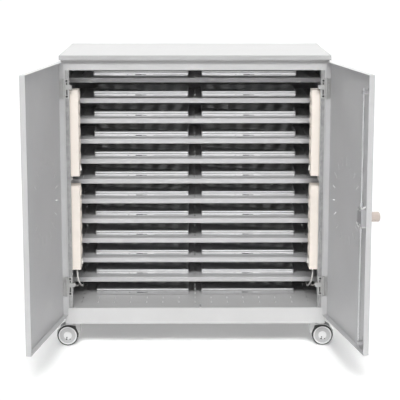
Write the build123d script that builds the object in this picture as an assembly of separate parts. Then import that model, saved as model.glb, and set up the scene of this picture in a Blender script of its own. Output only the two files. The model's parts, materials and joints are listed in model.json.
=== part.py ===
"""Mobile charging cabinet for laptops, in folded sheet steel.

The cabinet stands on four twin-wheel casters. Two vented doors hang on its front posts, and the right
one carries a rod lock. Inside are a slotted floor, eleven slotted shelves, four socket strips with
their leads, and a full load of laptops, two on the floor and two on each shelf.

Sizes are millimetres, and +Z is up. While the model is built, Y = 0 is the front face of the body and
Y grows towards the back. save() then moves the origin to the middle of the footprint, on the ground.
The doors are drawn closed and saved open, as the cabinet stands when it is loaded.
"""

from build123d import *

import math
import os

# Overall body
BODY_WIDTH = 990.0
BODY_DEPTH = 520.0
OVERALL_HEIGHT = 1135.0
BASE_HEIGHT = 108.0
SHEET = 1.5
HALF = BODY_WIDTH / 2
BACK_Y = BODY_DEPTH - 2 * SHEET

# Worktop tray on top of the body
WORKTOP_WIDTH = 1000.0
WORKTOP_THICKNESS = 17.5
WORKTOP_FRONT_OVERHANG = 22.0
WORKTOP_BACK_OVERHANG = 3.0
WORKTOP_LIP = 34.0
BODY_TOP = OVERALL_HEIGHT - WORKTOP_THICKNESS

# Front frame: posts, header rail and plinth
POST_WIDTH = 29.0
POST_DEPTH = 25.0
HEADER_BOTTOM = 1078.0
FLOOR_TOP = 170.6
FRAME_LIP = 28.0
CASTER_SEAT = 100.0
OPENING_HALF = HALF - POST_WIDTH

# Shelves and their slots
SHELF_COUNT = 11
SHELF_PITCH = 78.4
SHELF_WIDTH = 962.0
SHELF_FRONT_Y = 155.0
SHELF_BACK_Y = 505.0
SHELF_SHEET = 1.2
SHELF_LIP = 17.6
SHELF_LIP_RETURN = 10.0
SLOT_LENGTH = 30.0
SLOT_WIDTH = 4.0
SLOT_COLUMNS = 15
SLOT_COLUMN_PITCH = 62.5
SLOT_ROW_PITCH = 60.0
FLOOR_SLOT_FIRST_Y = 84.0
FLOOR_SLOT_ROWS = 7
SHELF_SLOT_ROWS = 5
UPRIGHT_FRONT_Y = (180.0, 430.0)
UPRIGHT_WIDTH = 30.0

# Doors
DOOR_BOTTOM = 142.7
DOOR_TOP = 1110.7
DOOR_FRONT_Y = -22.0
DOOR_BACK_Y = -2.0
DOOR_HINGE_X = 487.0
DOOR_FREE_X = 1.0
HINGE_Y = -5.7
DOOR_OPEN_LEFT = 99.5
DOOR_OPEN_RIGHT = 100.9
DOOR_DRAIN_INSET = 30.0
DOOR_DRAIN_RADIUS = 3.5
VENT_FROM_HINGE = 204.0
VENT_Z = 628.0
VENT_RADIUS = 144.0
VENT_LENGTH = 31.0
VENT_WIDTH = 3.0
VENT_PLACES = 18

# Hinges
HINGE_HEIGHTS = (256.0, 1010.0)
HINGE_HALF = 36.0
KNUCKLE_HALF = 17.5
KNUCKLE_GAP = 0.5
KNUCKLE_RADIUS = 5.0
PIN_RADIUS = 3.0
PIN_CLEARANCE = 0.05
PLATE_THICKNESS = 1.8
CLAMP_RISE = 5.0
CLAMP_HALF = 7.5
SCREW_RISE = 29.0

# Rod lock on the right door
LOCK_Z = 625.0
KNOB_X = 25.0
KNOB_RADIUS = 17.0
KNOB_LENGTH = 34.0
SPINDLE_RADIUS = 5.0
ROD_X = 20.0
ROD_Y = 9.5
ROD_RADIUS = 4.0
ROD_CLEARANCE = 0.1
ROD_TOP = 1066.0
ROD_BOTTOM = 174.0
LOCK_CASE = (3.0, 43.0, -20.5, 16.0, 596.0, 657.0)
ROD_INNER_GAP = 17.0
COLLAR_FROM_END = 22.0
COLLAR_LENGTH = 12.0
COLLAR_RADIUS = 6.2
GUIDE_HEIGHTS = (184.0, 1052.0)
STRIKE_HOLE_RADIUS = 5.5

# Socket strips
STRIP_INNER_X = 434.5
STRIP_OUTER_X = 474.0
STRIP_FRONT_Y = 26.0
STRIP_BACK_Y = 90.0
STRIP_BOTTOMS = {"lower": 314.0, "upper": 676.0}
STRIP_HEIGHT = 324.5
SOCKET_COUNT = 6
SOCKET_PITCH = 45.8
SOCKET_RADIUS = 19.0
SOCKET_DEPTH = 14.0
FIRST_SOCKET = 70.0
CONTACT_OFFSET = 9.5
CONTACT_RADIUS = 2.6
ROCKER_RISE = 26.0
ROCKER_TILT = 8.0
ROCKER_PIVOT_X = 437.5
ROCKER_PROUD = 8.0
ROCKER_PIN_RADIUS = 1.5

# Leads, drawn for the right side and mirrored for the left
LEAD_RADIUS = 3.0
LOWER_LEAD = [
    (451, 53, 314), (451, 53, 286), (447, 66, 258), (443, 92, 238), (440, 130, 221),
    (441, 176, 211), (444, 234, 206), (448, 306, 203), (450, 394, 202), (450, 478, 202),
]
UPPER_LEAD = [
    (465, 45, 676), (465, 45, 662), (473, 45, 652), (481, 46, 636), (483, 47, 608),
    (482, 48, 562), (482.5, 47, 476), (481.5, 46, 390), (482, 48, 322), (480, 58, 282),
    (474, 78, 254), (467, 105, 234), (461, 140, 219), (459, 180, 211), (460, 240, 206),
    (461.5, 314, 204), (462, 396, 203), (462, 478, 203),
]

# Laptops
LAPTOP_WIDTH = 366.0
LAPTOP_DEPTH = 249.0
LAPTOP_HEIGHT = 24.0
LAPTOP_BASE = 12.0
LAPTOP_SEAM = 1.6
LAPTOP_INNER_X = 24.5
LAPTOP_FRONT_Y = 182.0

# Casters
CASTER_X = 454.0
CASTER_Y = (80.0, 440.0)
WHEEL_RADIUS = 40.0
TYRE_THICKNESS = 4.5
WHEEL_TRAIL = 40.0
WHEEL_HALF_GAP = 4.0
WHEEL_WIDTH = 12.0
AXLE_RADIUS = 4.0
STEM_RADIUS = 6.0
RUNNING_CLEARANCE = 0.05


def block(x0, x1, y0, y1, z0, z1):
    """A box between two corners."""
    return Pos((x0 + x1) / 2, (y0 + y1) / 2, (z0 + z1) / 2) * Box(x1 - x0, y1 - y0, z1 - z0)


def post(x, y, z0, z1, radius):
    """A cylinder standing along Z."""
    return Pos(x, y, (z0 + z1) / 2) * Cylinder(radius, z1 - z0)


def bar_y(x, z, y0, y1, radius):
    """A cylinder lying along Y."""
    return Pos(x, (y0 + y1) / 2, z) * Rot(90, 0, 0) * Cylinder(radius, y1 - y0)


def bar_x(y, z, x0, x1, radius):
    """A cylinder lying along X."""
    return Pos((x0 + x1) / 2, y, z) * Rot(0, 90, 0) * Cylinder(radius, x1 - x0)


def mirrored(shape):
    """The left-hand copy of a right-hand shape."""
    return mirror(shape, about=Plane.YZ)


def opened(shape, side):
    """A closed door's piece, swung to where the open door stands."""
    angle = DOOR_OPEN_RIGHT if side > 0 else -DOOR_OPEN_LEFT
    axis = Pos(side * DOOR_HINGE_X, HINGE_Y, 0)
    return axis * Rot(0, 0, angle) * axis.inverse() * shape


def save(name, shapes):
    """Moves a sub-part from the front plane to the origin in mid footprint, and writes it."""
    solids = []
    for shape in shapes if isinstance(shapes, list) else [shapes]:
        solids += list(shape.solids())
    placed = [Pos(0, -BODY_DEPTH / 2, 0) * solid for solid in solids]
    whole = placed[0] if len(placed) == 1 else Compound(children=placed)
    export_step(whole, f"parts/{name}.step")


# ---------------------------------------------------------------- body


def side_panel():
    """Right side: skin, folded front post, rear return, top flange and the seat of the casters."""
    inner = HALF - SHEET
    panel = block(inner, HALF, 0, BODY_DEPTH, FLOOR_TOP, BODY_TOP)
    panel += block(inner, HALF, SHEET, BODY_DEPTH, BASE_HEIGHT, FLOOR_TOP)
    panel += block(OPENING_HALF, HALF, 0, SHEET, FLOOR_TOP, BODY_TOP)
    panel += block(OPENING_HALF, OPENING_HALF + SHEET, 0, POST_DEPTH, FLOOR_TOP, BODY_TOP)
    panel += block(HALF - POST_DEPTH, HALF, BODY_DEPTH - SHEET, BODY_DEPTH, BASE_HEIGHT, BODY_TOP)
    panel += block(HALF - POST_DEPTH, HALF, POST_DEPTH, BACK_Y, BODY_TOP - SHEET, BODY_TOP)
    front, top = SHEET + FRAME_LIP, BASE_HEIGHT + 2 * SHEET
    return panel + block(HALF - CASTER_SEAT, HALF, front, BACK_Y, BASE_HEIGHT, top)


def back_panel():
    """Rear sheet, with a row of level vent slots in each bay."""
    inner = HALF - SHEET
    panel = block(-inner, inner, BACK_Y, BACK_Y + SHEET, BASE_HEIGHT, BODY_TOP)
    slot = Rot(90, 0, 0) * extrude(SlotOverall(SLOT_LENGTH, SLOT_WIDTH), 4 * SHEET, both=True)
    vents = []
    for bay in range(SHELF_COUNT + 1):
        height = FLOOR_TOP + bay * SHELF_PITCH + 0.6 * SHELF_PITCH
        for column in range(SLOT_COLUMNS):
            across = (column - SLOT_COLUMNS // 2) * SLOT_COLUMN_PITCH
            vents.append(Pos(across, BACK_Y, height) * slot)
    return panel - vents - mains_opening()


def header_rail():
    """Rail over the doorway, a channel whose lower lip takes the top rod of the lock."""
    lip_y = SHEET + FRAME_LIP
    rail = block(-OPENING_HALF, OPENING_HALF, 0, SHEET, HEADER_BOTTOM, BODY_TOP)
    rail += block(-OPENING_HALF, OPENING_HALF, 0, lip_y, HEADER_BOTTOM, HEADER_BOTTOM + SHEET)
    rail += block(-OPENING_HALF, OPENING_HALF, 0, POST_DEPTH, BODY_TOP - SHEET, BODY_TOP)
    return rail - post(ROD_X, ROD_Y, HEADER_BOTTOM - 5, HEADER_BOTTOM + 5, STRIKE_HOLE_RADIUS)


def worktop():
    """Folded tray turned upside down, with lips that lie on the body."""
    half = WORKTOP_WIDTH / 2
    front = -WORKTOP_FRONT_OVERHANG
    back = BODY_DEPTH + WORKTOP_BACK_OVERHANG
    tray = block(-half, half, front, back, BODY_TOP, OVERALL_HEIGHT)
    tray = fillet(tray.edges().filter_by(Axis.Z), 3.0)
    tray = fillet(tray.edges().group_by(Axis.Z)[-1], 2.0)
    low, high = BODY_TOP + SHEET, OVERALL_HEIGHT - SHEET
    tray -= block(-half + SHEET, half - SHEET, front + SHEET, back - SHEET, low, high)
    lip = WORKTOP_LIP
    return tray - block(-half + lip, half - lip, front + lip + 20, back - lip, BODY_TOP - 1, low + 1)


def plinth():
    """Front board under the doors, with a lip along its foot."""
    board = block(-HALF, HALF, 0, SHEET, BASE_HEIGHT, FLOOR_TOP)
    return board + block(-HALF + 4, HALF - 4, 0, SHEET + FRAME_LIP, BASE_HEIGHT, BASE_HEIGHT + SHEET)


def slotted_sheet(width, front, back, top, thickness, first_row, rows):
    """A level sheet with a grid of narrow slots that run front to back."""
    sheet = Pos(0, (front + back) / 2) * Rectangle(width, back - front)
    centre = Pos(0, first_row + (rows - 1) * SLOT_ROW_PITCH / 2)
    slot = SlotOverall(SLOT_LENGTH, SLOT_WIDTH, rotation=90)
    grid = GridLocations(SLOT_COLUMN_PITCH, SLOT_ROW_PITCH, SLOT_COLUMNS, rows)
    sheet -= [centre * place * slot for place in grid]
    return Pos(0, 0, top - thickness) * extrude(sheet, thickness)


def floor_pan():
    """Slotted floor, with the hole that takes the lower rod of the lock."""
    inner = HALF - SHEET
    sheet = slotted_sheet(
        2 * inner, SHEET, BACK_Y, FLOOR_TOP, SHEET, FLOOR_SLOT_FIRST_Y, FLOOR_SLOT_ROWS
    )
    return sheet - post(ROD_X, ROD_Y, FLOOR_TOP - 5, FLOOR_TOP + 5, STRIKE_HOLE_RADIUS)


def shelf(top):
    """One shelf: slotted top, deep front lip with a return, and flanges on the other three sides."""
    half, low, thick = SHELF_WIDTH / 2, top - SHELF_LIP, SHELF_SHEET
    first_row = SHELF_FRONT_Y + 55
    tray = slotted_sheet(
        SHELF_WIDTH, SHELF_FRONT_Y, SHELF_BACK_Y, top, thick, first_row, SHELF_SLOT_ROWS
    )
    tray += block(-half, half, SHELF_FRONT_Y, SHELF_FRONT_Y + thick, low, top)
    tray += block(-half, half, SHELF_FRONT_Y, SHELF_FRONT_Y + SHELF_LIP_RETURN, low, low + thick)
    tray += block(-half, half, SHELF_BACK_Y - thick, SHELF_BACK_Y, low, top)
    for side in (-1, 1):
        outer, inner = side * half, side * (half - thick)
        tray += block(min(outer, inner), max(outer, inner), SHELF_FRONT_Y, SHELF_BACK_Y, low, top)
    return tray


def upright(front):
    """A channel that stands between the right side panel and the shelves."""
    x0, x1 = SHELF_WIDTH / 2, HALF - SHEET
    top = BODY_TOP - SHEET
    channel = block(x0, x1, front, front + UPRIGHT_WIDTH, FLOOR_TOP, top)
    return channel - block(
        x0 + SHEET, x1 + 1, front + SHEET, front + UPRIGHT_WIDTH - SHEET, FLOOR_TOP - 1, top + 1
    )


# ---------------------------------------------------------------- doors and hinges


def door():
    """The right door, closed: a pan with four flanges and a ring of radial vents."""
    x0, x1, y0, y1 = DOOR_FREE_X, DOOR_HINGE_X, DOOR_FRONT_Y, DOOR_BACK_Y
    pan = block(x0, x1, y0, y1, DOOR_BOTTOM, DOOR_TOP)
    pan = fillet(pan.edges().group_by(Axis.Y)[0], 2.0)
    pan -= block(
        x0 + SHEET, x1 - SHEET, y0 + SHEET, y1 + 1, DOOR_BOTTOM + SHEET, DOOR_TOP - SHEET
    )
    return pan - door_vents() - hinge_notches() - door_drains()


def door_vents():
    """Radial slits at equal angles, with the two places nearest the free edge left whole."""
    centre = Pos(DOOR_HINGE_X - VENT_FROM_HINGE, DOOR_FRONT_Y, VENT_Z)
    slit = Pos(VENT_RADIUS, 0, 0) * Box(VENT_LENGTH, 6 * SHEET, VENT_WIDTH)
    step = 360 / VENT_PLACES
    cuts = []
    for place in range(VENT_PLACES):
        angle = (place + 0.5) * step
        towards_free_edge = abs(angle - 180) < step
        if not towards_free_edge:
            cuts.append(centre * Rot(0, -angle, 0) * slit)
    return cuts


def hinge_notches():
    """Cuts in the hinge-side flange that clear the knuckles."""
    room = HINGE_HALF + 4
    return [
        block(DOOR_HINGE_X - 3, DOOR_HINGE_X + 1, -13.5, DOOR_BACK_Y + 1, z - room, z + room)
        for z in HINGE_HEIGHTS
    ]


def door_drains():
    """Two small holes in the bottom flange."""
    y = (DOOR_FRONT_Y + DOOR_BACK_Y) / 2
    ends = (DOOR_FREE_X + DOOR_DRAIN_INSET, DOOR_HINGE_X - DOOR_DRAIN_INSET)
    return [post(x, y, DOOR_BOTTOM - 3, DOOR_BOTTOM + 4, DOOR_DRAIN_RADIUS) for x in ends]


def spindle_hole():
    """Hole for the knob's spindle in the right door's skin."""
    return bar_y(KNOB_X, LOCK_Z, DOOR_FRONT_Y - 2, DOOR_FRONT_Y + 4, SPINDLE_RADIUS + 0.3)


def pin_bore(z):
    return post(DOOR_HINGE_X, HINGE_Y, z - 60, z + 60, PIN_RADIUS)


def body_hinge_plate(z):
    """Fixed leaf on the post, its middle knuckle, and the clamp that grips the post's edge."""
    knuckle = post(DOOR_HINGE_X, HINGE_Y, z - KNUCKLE_HALF, z + KNUCKLE_HALF, KNUCKLE_RADIUS)
    leaf = block(468, 480.5, -PLATE_THICKNESS, 0, z - HINGE_HALF, z + HINGE_HALF)
    arm = block(480, DOOR_HINGE_X, -PLATE_THICKNESS, 0, z - KNUCKLE_HALF, z + KNUCKLE_HALF)
    arm -= block(480, DOOR_HINGE_X + 1, -0.7, 1, z - HINGE_HALF, z + HINGE_HALF)
    low, high = z + CLAMP_RISE - CLAMP_HALF, z + CLAMP_RISE + CLAMP_HALF
    clamp = block(455, OPENING_HALF, -3.5, 18, low, high)
    clamp += block(455, 480, -4.0, -PLATE_THICKNESS, low, high)
    clamp += block(OPENING_HALF - 1, 468, -3.5, 0, low, high)
    return leaf + arm + clamp + knuckle - pin_bore(z)


def door_hinge_leaf(z):
    """Moving leaf inside the door's hinge-side flange, with its two end knuckles."""
    face = DOOR_HINGE_X - SHEET
    leaf = block(face - SHEET, face, -20.0, -10.5, z - HINGE_HALF, z + HINGE_HALF)
    leaf -= block(face - 3, face + 1, -13.2, -10, z - KNUCKLE_HALF - 1, z + KNUCKLE_HALF + 1)
    near = KNUCKLE_HALF + KNUCKLE_GAP
    for low, high in ((z - HINGE_HALF, z - near), (z + near, z + HINGE_HALF)):
        leaf += post(DOOR_HINGE_X, HINGE_Y, low, high, KNUCKLE_RADIUS)
        leaf += block(face - SHEET, DOOR_HINGE_X, -13.2, -9.0, low, high)
    return leaf - pin_bore(z)


def hinge_pin(z):
    """Pin with a small head that keeps it up."""
    radius = PIN_RADIUS - PIN_CLEARANCE
    pin = post(DOOR_HINGE_X, HINGE_Y, z - HINGE_HALF, z + HINGE_HALF + 0.5, radius)
    return pin + post(DOOR_HINGE_X, HINGE_Y, z + HINGE_HALF + 0.3, z + HINGE_HALF + 2.3, 4.2)


def hinge_screws(z):
    """Two round heads on the fixed leaf."""
    heads = []
    for rise in (-SCREW_RISE, SCREW_RISE):
        head = bar_y(474.2, z + rise, -PLATE_THICKNESS - 2.4, -PLATE_THICKNESS, 4.0)
        heads.append(fillet(head.edges().group_by(Axis.Y)[0], 1.2))
    return heads


# ---------------------------------------------------------------- lock


def rod_bore(z0, z1):
    return post(ROD_X, ROD_Y, z0, z1, ROD_RADIUS + ROD_CLEARANCE)


def lock_case():
    """Box over the cam, open towards the door's skin, with a bore for each rod."""
    x0, x1, y0, y1, z0, z1 = LOCK_CASE
    case = block(x0, x1, y0, y1, z0, z1)
    case = fillet(case.edges().group_by(Axis.Y)[-1], 2.0)
    case -= block(x0 + SHEET, x1 - SHEET, y0 - 1, y1 - SHEET, z0 + SHEET, z1 - SHEET)
    return case - rod_bore(z0 - 1, z1 + 1)


def lock_guide(z):
    """Bracket that steadies a rod near its end, with a riveted foot."""
    skin = DOOR_FRONT_Y + SHEET
    guide = block(12, 28, skin, 15.5, z - 6, z + 6)
    guide += block(12, 62, skin, skin + SHEET, z - 9, z + 9)
    for x in (40, 54):
        guide += bar_y(x, z, skin, skin + SHEET + 1.8, 3.2)
    return guide - rod_bore(z - 10, z + 10)


def lock_knob():
    """Round knob with a slightly domed end, on its spindle."""
    back = DOOR_FRONT_Y - 0.3
    knob = bar_y(KNOB_X, LOCK_Z, back - KNOB_LENGTH, back, KNOB_RADIUS)
    knob = fillet(knob.edges().group_by(Axis.Y)[0], 4.0)
    knob = fillet(knob.edges().group_by(Axis.Y)[-1], 1.0)
    return knob + bar_y(KNOB_X, LOCK_Z, back - 1, -2, SPINDLE_RADIUS)


def lock_cam():
    """Disc at the spindle's end, with the two pins that drive the rods."""
    cam = bar_y(KNOB_X, LOCK_Z, -2, 1.5, 13.0)
    for side in (-1, 1):
        cam += bar_y(KNOB_X + side * 9, LOCK_Z, 1, 5.0, 2.0)
    return cam


def lock_rod(inner, outer):
    """Round rod with a collar near the case and chamfered ends."""
    low, high = min(inner, outer), max(inner, outer)
    rod = post(ROD_X, ROD_Y, low, high, ROD_RADIUS)
    rod = chamfer(rod.edges(), 1.0)
    away = 1 if outer > inner else -1
    near = inner + away * COLLAR_FROM_END
    collar = sorted((near, near + away * COLLAR_LENGTH))
    return rod + post(ROD_X, ROD_Y, collar[0], collar[1], COLLAR_RADIUS)


def door_stop():
    """Small block on the floor that the right door's rod comes up against."""
    return block(15, 23, 16, 22, FLOOR_TOP, FLOOR_TOP + 9)


# ---------------------------------------------------------------- power


def strip(level):
    """A right-hand socket strip, its sockets facing the middle of the cabinet."""
    bottom, top = STRIP_BOTTOMS[level], STRIP_BOTTOMS[level] + STRIP_HEIGHT
    y = (STRIP_FRONT_Y + STRIP_BACK_Y) / 2
    body = block(STRIP_INNER_X, STRIP_OUTER_X, STRIP_FRONT_Y, STRIP_BACK_Y, bottom, top)
    body = fillet(body.edges().filter_by(Axis.Z), 3.0)
    for number in range(SOCKET_COUNT):
        z = bottom + FIRST_SOCKET + number * SOCKET_PITCH
        floor = STRIP_INNER_X + SOCKET_DEPTH
        body -= bar_x(y, z, STRIP_INNER_X - 1, floor, SOCKET_RADIUS)
        for side in (-CONTACT_OFFSET, CONTACT_OFFSET):
            body -= bar_x(y + side, z, STRIP_INNER_X, floor + 12, CONTACT_RADIUS)
    z = bottom + ROCKER_RISE
    body -= block(STRIP_INNER_X - 1, STRIP_INNER_X + 12.5, y - 8.5, y + 8.5, z - 12, z + 12)
    bore = ROCKER_PIN_RADIUS + RUNNING_CLEARANCE
    return body - bar_y(ROCKER_PIVOT_X, z, y - 10.5, y + 10.5, bore)


def rocker(level):
    """A right-hand rocker switch, resting with its lower end pressed in."""
    z = STRIP_BOTTOMS[level] + ROCKER_RISE
    y = (STRIP_FRONT_Y + STRIP_BACK_Y) / 2
    cap = block(-ROCKER_PROUD, 0, -7.5, 7.5, -9.5, 9.5)
    cap = fillet(cap.edges().group_by(Axis.X)[0], 1.0)
    cap += Rot(90, 0, 0) * Cylinder(ROCKER_PIN_RADIUS, 20)
    return Pos(ROCKER_PIVOT_X, y, z) * Rot(0, ROCKER_TILT, 0) * cap


def strip_brackets(level):
    """The two C brackets that hold a strip off the side panel."""
    bottom, top = STRIP_BOTTOMS[level], STRIP_BOTTOMS[level] + STRIP_HEIGHT
    brackets = []
    for z in (bottom + 30, top - 30):
        bracket = block(STRIP_OUTER_X, HALF - SHEET, 60, 78, z - 10, z + 10)
        x0, x1 = STRIP_OUTER_X + SHEET, HALF - 2 * SHEET
        brackets.append(bracket - block(x0, x1, 59, 78 - SHEET, z - 11, z + 11))
    return brackets


def lead(points):
    """A lead along straight runs joined by tangent arcs."""
    points = [Vector(*p) for p in points]
    radii = []
    for before, here, after in zip(points, points[1:], points[2:]):
        turn = math.radians((here - before).get_angle(after - here))
        shorter = min((here - before).length, (after - here).length)
        radii.append(0.45 * shorter / math.tan(turn / 2))
    path = FilletPolyline(*points, radius=radii)
    profile = Plane(origin=points[0], z_dir=points[1] - points[0]) * Circle(LEAD_RADIUS)
    tube = sweep(profile, path=path)
    print("lead radii", [round(r) for r in radii], "length", round(path.length))
    print("volume over section times length", round(tube.volume / (profile.area * path.length), 4))
    return tube


def junction_box():
    """Box at the rear of the floor bay that a side's two leads run into."""
    box = block(432, 468.5, 478, BACK_Y, 184, 226)
    return box - block(434, 466.5, 480, BACK_Y + 1, 186, 224)


def crossover():
    """Conduit behind the lowest laptops, between the two junction boxes."""
    return bar_x(500, 205, -432, 432, 6.0)


def mains_opening():
    """Cut in the back panel for the mains inlet."""
    return block(436.8, 464.2, BACK_Y - 2, BACK_Y + 4, 194.8, 215.2)


def mains_inlet():
    """Appliance inlet in the back panel, behind the right-hand junction box."""
    y = BACK_Y + SHEET
    inlet = block(437, 464, y - 22, y + 0.5, 195, 215)
    inlet += block(431, 469.5, y, y + 3, 188, 222)
    inlet -= block(439, 462, y - 17, y + 4, 197, 213)
    for x, z in ((443.5, 202), (450.5, 207), (457.5, 202)):
        inlet += block(x - 1, x + 1, y - 18, y - 3, z - 2, z + 2)
    return inlet


# ---------------------------------------------------------------- laptops


def laptop():
    """A closed laptop with its seam, standing on Z = 0 with its front at Y = 0."""
    outline = Pos(0, LAPTOP_DEPTH / 2) * RectangleRounded(LAPTOP_WIDTH, LAPTOP_DEPTH, 9)
    inset = Pos(0, LAPTOP_DEPTH / 2) * RectangleRounded(LAPTOP_WIDTH - 4, LAPTOP_DEPTH - 4, 7)
    lid_low = LAPTOP_BASE + LAPTOP_SEAM
    base = extrude(outline, LAPTOP_BASE)
    seam = Pos(0, 0, LAPTOP_BASE) * extrude(inset, LAPTOP_SEAM)
    lid = Pos(0, 0, lid_low) * extrude(outline, LAPTOP_HEIGHT - lid_low)
    return base + seam + lid


def laptop_column(side):
    """One laptop on the floor and one on each shelf, on one side of the middle."""
    x = side * (LAPTOP_INNER_X + LAPTOP_WIDTH / 2)
    pattern = laptop()
    levels = [FLOOR_TOP + SHELF_PITCH * row for row in range(SHELF_COUNT + 1)]
    return [Pos(x, LAPTOP_FRONT_Y, z) * pattern for z in levels]


# ---------------------------------------------------------------- casters


def wheel_ring(outer, inner, y0, y1):
    return bar_y(0, 0, y0, y1, outer) - bar_y(0, 0, y0 - 1, y1 + 1, inner)


def tyres():
    """Both tyres of one caster, around Y at the origin."""
    rings = []
    for side in (-1, 1):
        ends = sorted((side * WHEEL_HALF_GAP, side * (WHEEL_HALF_GAP + WHEEL_WIDTH)))
        ring = bar_y(0, 0, ends[0], ends[1], WHEEL_RADIUS)
        ring = fillet(ring.edges(), 2.0)
        rings.append(ring - bar_y(0, 0, ends[0] - 1, ends[1] + 1, WHEEL_RADIUS - TYRE_THICKNESS))
    return rings


def hubs():
    """Both hubs of one caster: dished discs with a raised middle and a blind bore for the axle."""
    discs = []
    for side in (-1, 1):
        near, far = side * WHEEL_HALF_GAP, side * (WHEEL_HALF_GAP + WHEEL_WIDTH)
        disc = bar_y(0, 0, min(near, far), max(near, far), WHEEL_RADIUS - TYRE_THICKNESS)
        dish = sorted((far - side * 4, far + side))
        disc -= wheel_ring(29, 15, dish[0], dish[1])
        bore = sorted((near - side, far - side * 2))
        discs.append(disc - bar_y(0, 0, bore[0], bore[1], AXLE_RADIUS + RUNNING_CLEARANCE))
    return discs


def fork(trail):
    """Caster body about its stem: neck, hood over the wheels, web between them, and the axle."""
    reach = WHEEL_HALF_GAP + WHEEL_WIDTH + 1
    centre = Pos(trail, 0, WHEEL_RADIUS)
    clear = WHEEL_RADIUS + 2
    inward = -1 if trail > 0 else 1
    hood = centre * wheel_ring(clear + 3.5, clear, -reach, reach)
    hood -= block(trail - 60, trail + 60, -30, 30, -10, WHEEL_RADIUS + 18)
    neck = block(-9, 9, -reach, reach, 50, 98)
    shoulder = sorted((inward * 9, trail * 0.72))
    neck += block(shoulder[0], shoulder[1], -reach, reach, 78, 86)
    neck -= centre * bar_y(0, 0, -reach - 1, reach + 1, clear)
    web_gap = WHEEL_HALF_GAP - 0.5
    web = centre * bar_y(0, 0, -web_gap, web_gap, clear + 0.5)
    web -= block(trail - 60, trail + 60, -30, 30, -10, WHEEL_RADIUS - 8)
    body = hood + neck + web
    body += centre * bar_y(0, 0, -web_gap, web_gap, 12)
    axle_end = WHEEL_HALF_GAP + WHEEL_WIDTH - 2.5
    body += centre * bar_y(0, 0, -axle_end, axle_end, AXLE_RADIUS)
    body += post(0, 0, 96, 98.8, 15)
    return body + post(0, 0, 98, 106, STEM_RADIUS)


def caster_plate():
    """Fixed plate and boss that the stem turns in."""
    plate = block(-37, 37, -32, 32, BASE_HEIGHT - 3, BASE_HEIGHT)
    plate += post(0, 0, 99, BASE_HEIGHT - 2, 18)
    return plate - post(0, 0, 95, 106.5, STEM_RADIUS + RUNNING_CLEARANCE)


# ---------------------------------------------------------------- assembly


def save_body():
    save("side_panel_right", side_panel())
    save("side_panel_left", mirrored(side_panel()))
    save("back_panel", back_panel())
    save("header_rail", header_rail())
    save("worktop", worktop())
    save("plinth", plinth())
    save("floor_pan", floor_pan())
    pattern = shelf(0)
    for number in range(1, SHELF_COUNT + 1):
        save(f"shelf_{number:02d}", Pos(0, 0, FLOOR_TOP + number * SHELF_PITCH) * pattern)
    uprights = [upright(front) for front in UPRIGHT_FRONT_Y]
    save("shelf_uprights", uprights + [mirrored(channel) for channel in uprights])


def save_doors():
    save("door_right", opened(door() - spindle_hole(), 1))
    save("door_left", opened(mirrored(door()), -1))
    plates = [body_hinge_plate(z) for z in HINGE_HEIGHTS]
    save("hinge_plates", plates + [mirrored(plate) for plate in plates])
    leaves = [door_hinge_leaf(z) for z in HINGE_HEIGHTS]
    save("hinge_leaves_right", [opened(leaf, 1) for leaf in leaves])
    save("hinge_leaves_left", [opened(mirrored(leaf), -1) for leaf in leaves])
    pins = [hinge_pin(z) for z in HINGE_HEIGHTS]
    save("hinge_pins", pins + [mirrored(pin) for pin in pins])
    screws = [screw for z in HINGE_HEIGHTS for screw in hinge_screws(z)]
    save("hinge_screws", screws + [mirrored(screw) for screw in screws])


def save_lock():
    save("lock_case", opened(lock_case(), 1))
    save("lock_guides", [opened(lock_guide(z), 1) for z in GUIDE_HEIGHTS])
    save("lock_knob", opened(lock_knob(), 1))
    save("lock_cam", opened(lock_cam(), 1))
    save("lock_rod_upper", opened(lock_rod(LOCK_Z + ROD_INNER_GAP, ROD_TOP), 1))
    save("lock_rod_lower", opened(lock_rod(LOCK_Z - ROD_INNER_GAP, ROD_BOTTOM), 1))
    save("door_stop", door_stop())


def save_power():
    brackets = []
    for level in STRIP_BOTTOMS:
        save(f"power_strip_{level}_right", strip(level))
        save(f"power_strip_{level}_left", mirrored(strip(level)))
        save(f"rocker_{level}_right", rocker(level))
        save(f"rocker_{level}_left", mirrored(rocker(level)))
        brackets += strip_brackets(level)
    save("strip_brackets", brackets + [mirrored(bracket) for bracket in brackets])
    leads = [lead(LOWER_LEAD), lead(UPPER_LEAD)]
    save("power_leads", leads + [mirrored(cable) for cable in leads])
    save("junction_boxes", [junction_box(), mirrored(junction_box()), crossover()])
    save("mains_inlet", mains_inlet())


def save_laptops():
    save("laptops_left", laptop_column(-1))
    save("laptops_right", laptop_column(1))


def save_casters():
    plates = []
    for end, y in zip(("front", "rear"), CASTER_Y):
        for hand, side in (("left", -1), ("right", 1)):
            stem = Pos(side * CASTER_X, y, 0)
            wheel = stem * Pos(side * WHEEL_TRAIL, 0, WHEEL_RADIUS)
            plates.append(stem * caster_plate())
            save(f"caster_fork_{end}_{hand}", stem * fork(side * WHEEL_TRAIL))
            save(f"caster_hubs_{end}_{hand}", [wheel * disc for disc in hubs()])
            save(f"caster_tyres_{end}_{hand}", [wheel * ring for ring in tyres()])
    save("caster_plates", plates)


def main():
    os.makedirs("parts", exist_ok=True)
    save_body()
    save_doors()
    save_lock()
    save_power()
    save_laptops()
    save_casters()


main()
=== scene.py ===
import json
import math

import bmesh
import bpy
from mathutils import Matrix, Vector


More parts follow.
